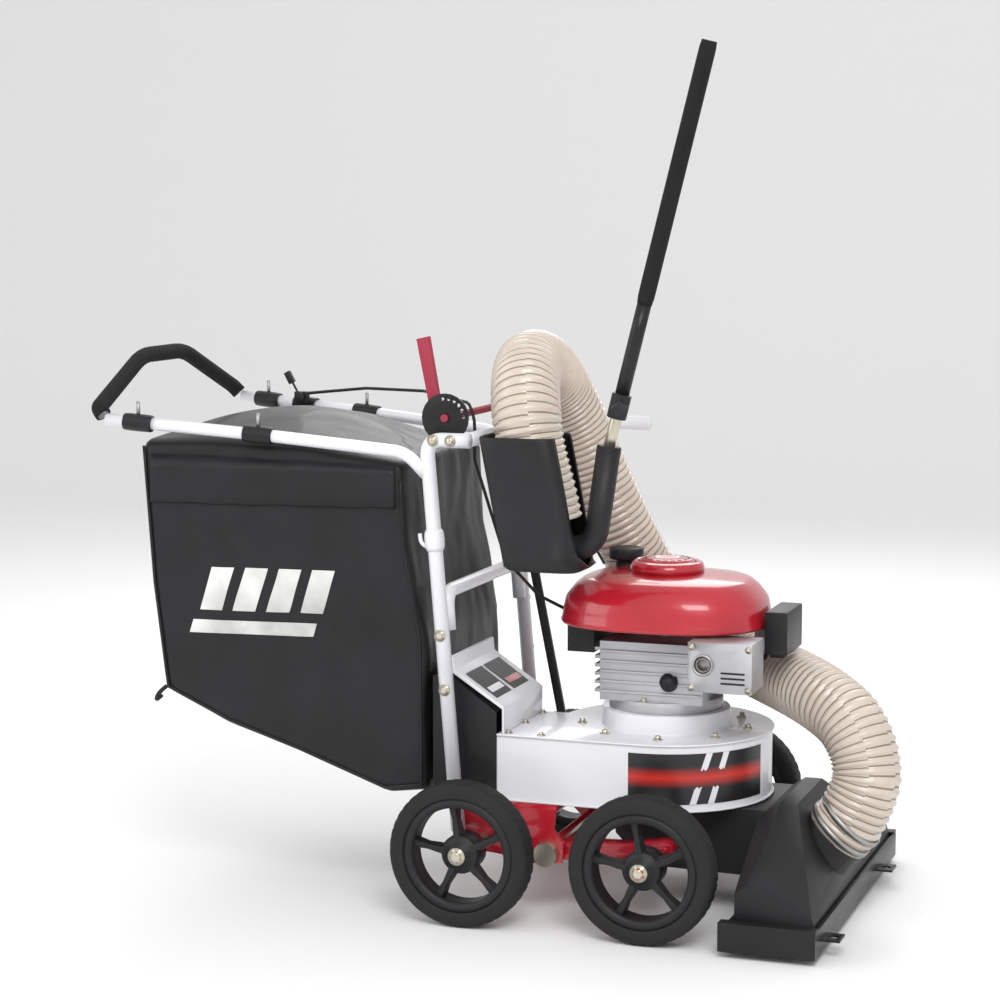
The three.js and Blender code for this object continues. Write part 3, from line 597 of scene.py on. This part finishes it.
def housing_trim():
    """The plain label band with two stripes, and the studs and bolts on the lid, boss and outlet."""
    band_on_housing("label_band", -104, -14, LABEL_Z0, LABEL_Z1, label_glow())
    white = FINISH["white_paint"]
    for i, angle in enumerate((-62, -52)):
        name = f"label_stripe_{i}"
        band_on_housing(name, angle, angle + 3.6, LABEL_Z0, LABEL_Z1, white, lean=9, lift=1.1)
    for i in range(8):
        angle = math.radians(-160 + i * 40)
        x, y = HOUSING_X + 150 * math.cos(angle), 150 * math.sin(angle)
        bolt(f"housing_stud_{i}", x, y, HOUSING_TOP_Z, (0, 0, 1), 5.5, 7)
    for i in range(6):
        angle = math.radians(20 + i * 60)
        x, y = HOUSING_X + 92 * math.cos(angle), 92 * math.sin(angle)
        bolt(f"flange_bolt_{i}", x, y, 366, (0, 0, 1), 5, 5)
    for i, (x, y) in enumerate(((-292, -180), (-232, -180), (-292, 8), (-292, -88))):
        bolt(f"outlet_bolt_{i}", x + 6, y, HOUSING_TOP_Z, (0, 0, 1), 4.5, 5)


def shroud():
    """The red engine cover: a domed oval shell with a rolled lower lip."""
    levels = [(0.95, 497.5), (1.0, 498.5), (1.012, 503), (1.0, 508), (0.985, 524), (0.965, 542),
              (0.945, 549), (0.87, 566), (0.80, 576), (0.74, 580), (0.50, 585), (0.36, 587)]
    sides = 72
    square = 2.6   # 2 is an ellipse, and more is nearer a rectangle
    verts = []
    for scale, z in levels:
        for k in range(sides):
            angle = 2 * math.pi * k / sides
            c, d = math.cos(angle), math.sin(angle)
            reach = 1 / (abs(c) ** square + abs(d) ** square) ** (1 / square)
            verts.append(at(COVER_X + 184 * scale * reach * c, COVER_Y + 152 * scale * reach * d, z))
    faces = skin(len(levels), sides)
    faces.append(tuple(range((len(levels) - 1) * sides, len(levels) * sides)))
    cover = piece("shroud_shell", verts, faces, "red_paint")
    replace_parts(cover, "engine_shroud")


def starter():
    """The round screen over the starter, with three rings of slots."""
    foot = 586
    profile = [(66, 586), (66, 596), (63, 603), (56, 607), (54, 604), (48, 606), (46, 609), (24, 612),
               (20, 609), (0.6, 609)]
    drawn = [(r, z - foot) for r, z in profile]
    screen = lathe("starter_dome", drawn, (HOUSING_X, 0, foot), (0, 0, 1), "red_paint", sides=64)
    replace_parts(screen, "starter_screen")
    for ring_no, (r, z) in enumerate(((38, 609.5), (50, 605.0), (61, 601.5))):
        for i in range(18):
            angle = 2 * math.pi * i / 18 + ring_no * 0.17
            x, y = HOUSING_X + r * math.cos(angle), r * math.sin(angle)
            name = f"screen_slot_{ring_no}_{i}"
            slot = bevelled(name, -2.2, 2.2, -4.6, 4.6, -0.8, 1.2, "black_plastic", bevel=1)
            turn = Matrix.Rotation(angle, 4, "Z")
            slot.data.transform(Matrix.Translation(at(x, y, z)) @ turn @ Matrix.Translation(-at(0, 0, 0)))


def studs():
    """The bag's straps round the rails, each with a stud standing on it."""
    for end, x, y, z in (("rear", -952, 277, 848), ("middle", -730, 251, 831)):
        for side, s in SIDES:
            name = f"{end}_{side}"
            along = (-26, -24, -12, 0, 12, 24, 26)
            sleeve = [at(x + d, s * (y - d * 0.117), z - d * 0.077) for d in along]
            pad = sweep(f"{name}_strap", sleeve, lambda t, a: 14.6 + 1.2 * math.sin(math.pi * t), "vinyl")
            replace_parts(pad, f"{name}_saddle")
            sweep(f"{name}_stud", [at(x, s * y, z + d) for d in (12, 24, 38)], 3.4, "steel", sides=12)


def softened(node, width=1.5, sharpest=28, segments=2):
    """A copy of a CAD piece with its flat facets joined and its edges rounded."""
    mesh = frame["nodes"][node].data.copy()
    shape = bmesh.new()
    shape.from_mesh(mesh)
    bmesh.ops.remove_doubles(shape, verts=shape.verts, dist=1e-5)
    bmesh.ops.dissolve_limit(shape, angle_limit=math.radians(2), verts=shape.verts, edges=shape.edges)
    shape.to_mesh(mesh)
    shape.free()
    obj = bpy.data.objects.new(f"{node}_finished", mesh)
    bpy.context.collection.objects.link(obj)
    for face in mesh.polygons:
        face.use_smooth = True
    edge = obj.modifiers.new("edge", "BEVEL")
    edge.width = width / 1000
    edge.segments = segments
    edge.limit_method = "ANGLE"
    edge.angle_limit = math.radians(sharpest)
    edge.harden_normals = True
    body = next(b for b, nodes in frame["record"]["behaviour"]["bodies"].items() if node in nodes)
    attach(obj, body)
    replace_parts(obj, node)


# How wide each CAD piece's edges are rounded, mm.
SOFT_EDGES = {"nozzle": 9, "nozzle_tray": 1.2, "chassis": 1.2, "front_arm": 2, "chute_cover": 1.2,
              "bag_neck": 2, "crankcase": 3, "cylinder_head": 1.2, "carburettor": 3, "air_cleaner": 6,
              "muffler_guard": 5, "fuel_tank": 6, "height_lever": 2.5, "height_rod": 1,
              "throttle_lever": 1.5, "detent_plate": 0.8, "housing_lid": 1.5, "housing_floor": 1,
              "fuel_cap": 4, "starter_grip": 2.5, "clamp_knob": 3, "pole_collar": 2, "throttle_bracket": 1}


def finished_edges():
    for node, width in SOFT_EDGES.items():
        softened(node, width)


def holster_shell():
    """A tapering moulded cradle, open at the top and along its front, with rounded corners."""
    rows = [(612, -277, -132, 0.9), (618, -277, -132, 1.0), (640, -281, -137, 1.0),
            (690, -292, -149, 1.0), (740, -302, -158, 1.0), (790, -312, -168, 1.0),
            (836, -321, -177.5, 1.0), (841, -321.5, -178, 0.985)]
    count = 56
    verts = []
    for z, rear, front, size in rows:
        centre = Vector(((rear + front) / 2, WAND_Y))
        half = Vector(((front - rear) / 2 * size - 1.5, 68.5 * size))
        gap = math.radians(34) if z > 628 else math.radians(3)
        for i in range(count + 1):
            angle = gap + (2 * math.pi - 2 * gap) * i / count
            c, d = math.cos(angle), math.sin(angle)
            square = 1 / (abs(c) ** 5 + abs(d) ** 5) ** 0.2
            verts.append(at(centre.x + half.x * square * c, centre.y + half.y * square * d, z))
    faces = grid(len(rows) - 1, count)
    faces.append(tuple(reversed(range(count + 1))))
    shell = piece("holster_shell", verts, faces, "black_plastic")
    wall = shell.modifiers.new("wall", "SOLIDIFY")
    wall.thickness = 0.0035
    wall.offset = -1
    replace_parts(shell, "holster")


def engine_details():
    """The guard's slots and outlet, the oil filler, ribs, spark lead and screws."""
    for i in range(3):
        low = 424 + i * 9
        bevelled(f"guard_slot_{i}", 96, 138, -184, -181.2, low, low + 3, "black_plastic", bevel=0.8)
    rim = [(15, -1), (18.5, -1), (18.5, 2.5), (15, 2.5), (15, -1)]
    lathe("guard_port_rim", rim, (64, -182, 455), (0, -1, 0), "steel")
    outlet = [(11, 0), (13, 0), (13, 10), (11, 10), (11, 0)]
    lathe("muffler_outlet", outlet, (64, -181, 455), (0, 1, 0), "steel")
    filler = [(16, 0), (16, 10), (11, 12), (11, 20), (0.6, 20)]
    lathe("oil_filler", filler, (-20, -88, 400), (0, -0.8, 0.6), "black_plastic")
    for i, (x, y, z) in enumerate(((44, -182, 486), (144, -182, 486), (144, -182, 416), (44, -182, 416))):
        bolt(f"guard_bolt_{i}", x, y, z, (0, -1, 0), 3.6, 2.5)
    for i, z in enumerate((378, 396, 414, 432, 450)):
        bevelled(f"crankcase_rib_{i}", -146, 38, -92, -86, z, z + 5, "alloy", bevel=1.5)
    lead = [at(112, 20, 430), at(126, 24, 440), at(120, 60, 470), at(90, 80, 496)]
    sweep("spark_lead", spline(lead), 3.5, "cable_sheath")
    for i, angle in enumerate((-150, -95, -40, 30, 90, 150)):
        a = math.radians(angle)
        x, y = COVER_X + 140 * math.cos(a), COVER_Y + 112 * math.sin(a)
        bolt(f"shroud_screw_{i}", x, y, 575, (0, 0, 1), 3.2, 2.5)


def hub_bolts():
    for end, x, body in (("front", 0, "front_arm"), ("rear", REAR_AXLE_X, "machine")):
        for side, s in SIDES:
            bolt(f"{end}_{side}_hub_bolt", x, s * 343.2, WHEEL_R, (0, s, 0), 9.6, 7, body)


def chute_labels():
    """Two plain dark information panels on the sloping cover, with no lettering."""
    low, high = Vector((-293, 358)), Vector((-384, 421))

    def panel(name, start, end, y0, y1, lift, slot):
        a, b = low.lerp(high, start), low.lerp(high, end)
        corners = [(a, y0), (a, y1), (b, y1), (b, y0)]
        piece(name, [at(p.x, y, p.y + lift) for p, y in corners], [(0, 1, 2, 3)], slot)

    for i, (y0, y1) in enumerate(((-176, -96), (-84, -2))):
        panel(f"chute_panel_{i}", 0.18, 0.82, y0, y1, 2.8, "black_plastic")
        stripe_slot = "red_paint" if i else "white_paint"
        panel(f"chute_panel_stripe_{i}", 0.3, 0.42, y0 + 8, y1 - 8, 3.4, stripe_slot)


def bag_trim():
    """Piping round both sides, a flap across each upper side, and a tie at the rear corner."""
    profile = [(-958, 812), (-941, 560), (-918, 364), (-800, 306), (-665, 258), (-505, 194),
               (-437, 203), (-439, 470), (-469, 640), (-476, 782)]
    middle_x, middle_z = -698, 540
    for name, s in SIDES:
        drawn = [((x - middle_x) * BAG_EDGE + middle_x, (z - middle_z) * BAG_EDGE + middle_z)
                 for x, z in profile]
        path = [at(x, s * (bag_half(x) - 3), z) for x, z in drawn]
        seam = [a.lerp(b, k / 6) for a, b in zip(path, path[1:]) for k in range(6)]
        sweep(f"{name}_bag_piping", seam, 3.0, "vinyl", sides=10)
        verts, faces = [], []
        count = 60
        for i in range(count + 1):
            x = -938 + (938 - 488) * i / count
            y = s * (bag_half(x) + 3.5)
            sway = 5 * noise.noise(Vector((x / 60, s, 2)))
            for k, z in enumerate((792 - (x + 950) * 0.03, 765, 732, 706 + sway, 704 + sway)):
                ripple = 2.5 * noise.noise(Vector((x / 35, k * 1.3, s)))
                hem = (2 if k == 3 else 0) - (3 if k in (0, 4) else 0)
                verts.append(at(x, y + s * (ripple + hem), z))
        for i in range(count):
            for k in range(4):
                a = i * 5 + k
                faces.append((a, a + 1, a + 6, a + 5) if s < 0 else (a, a + 5, a + 6, a + 1))
        flap = piece(f"{name}_bag_flap", verts, faces, "vinyl")
        thick = flap.modifiers.new("cloth", "SOLIDIFY")
        thick.thickness = 0.0015
    tie = [at(-923, -241, 366), at(-938, -243, 352), at(-944, -240, 340), at(-934, -239, 348)]
    sweep("bag_corner_tie", spline(tie, 6), 4, "vinyl", sides=10)


def soft_round():
    """Smooth stand-ins for round pieces that the CAD leaves faceted."""
    foot, top = Vector((-99, WAND_Y, 826)), Vector((70, WAND_Y, 1504))
    along = (top - foot).normalized()

    def span(a, b, n=3):
        return [at(*(foot + along * (a + (b - a) * k / n))) for k in range(n + 1)]

    pole = sweep("pole_tube", span(93, 250), 12.5, "black_steel", "wand_pole")
    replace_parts(pole, "pole")
    foam = sweep("pole_foam", span(250, 698, 40), lambda t, a: 14.4 - 1.5 * (abs(2 * t - 1) ** 40),
                 "foam", "wand_pole")
    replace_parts(foam, "pole_grip")
    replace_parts(sweep("wand_inner_tube", span(-8, 100), 10, "zinc"), "wand_tube")
    elbow = [(-203, WAND_Y, 642), (-124, WAND_Y, 652), (-99, WAND_Y, 826)]
    arm = sweep("wand_arm", rounded(elbow, 70, 14), lambda t, a: 21 + 6 * max(0, 0.3 - t),
                "black_plastic", sides=32)
    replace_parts(arm, "wand_elbow")


camera()
studio()
paint_cad()
tubes()
wheels()
hose()
bag_mark(bag())
housing_trim()
shroud()
starter()
studs()
finished_edges()
holster_shell()
engine_details()
hub_bolts()
chute_labels()
bag_trim()
soft_round()
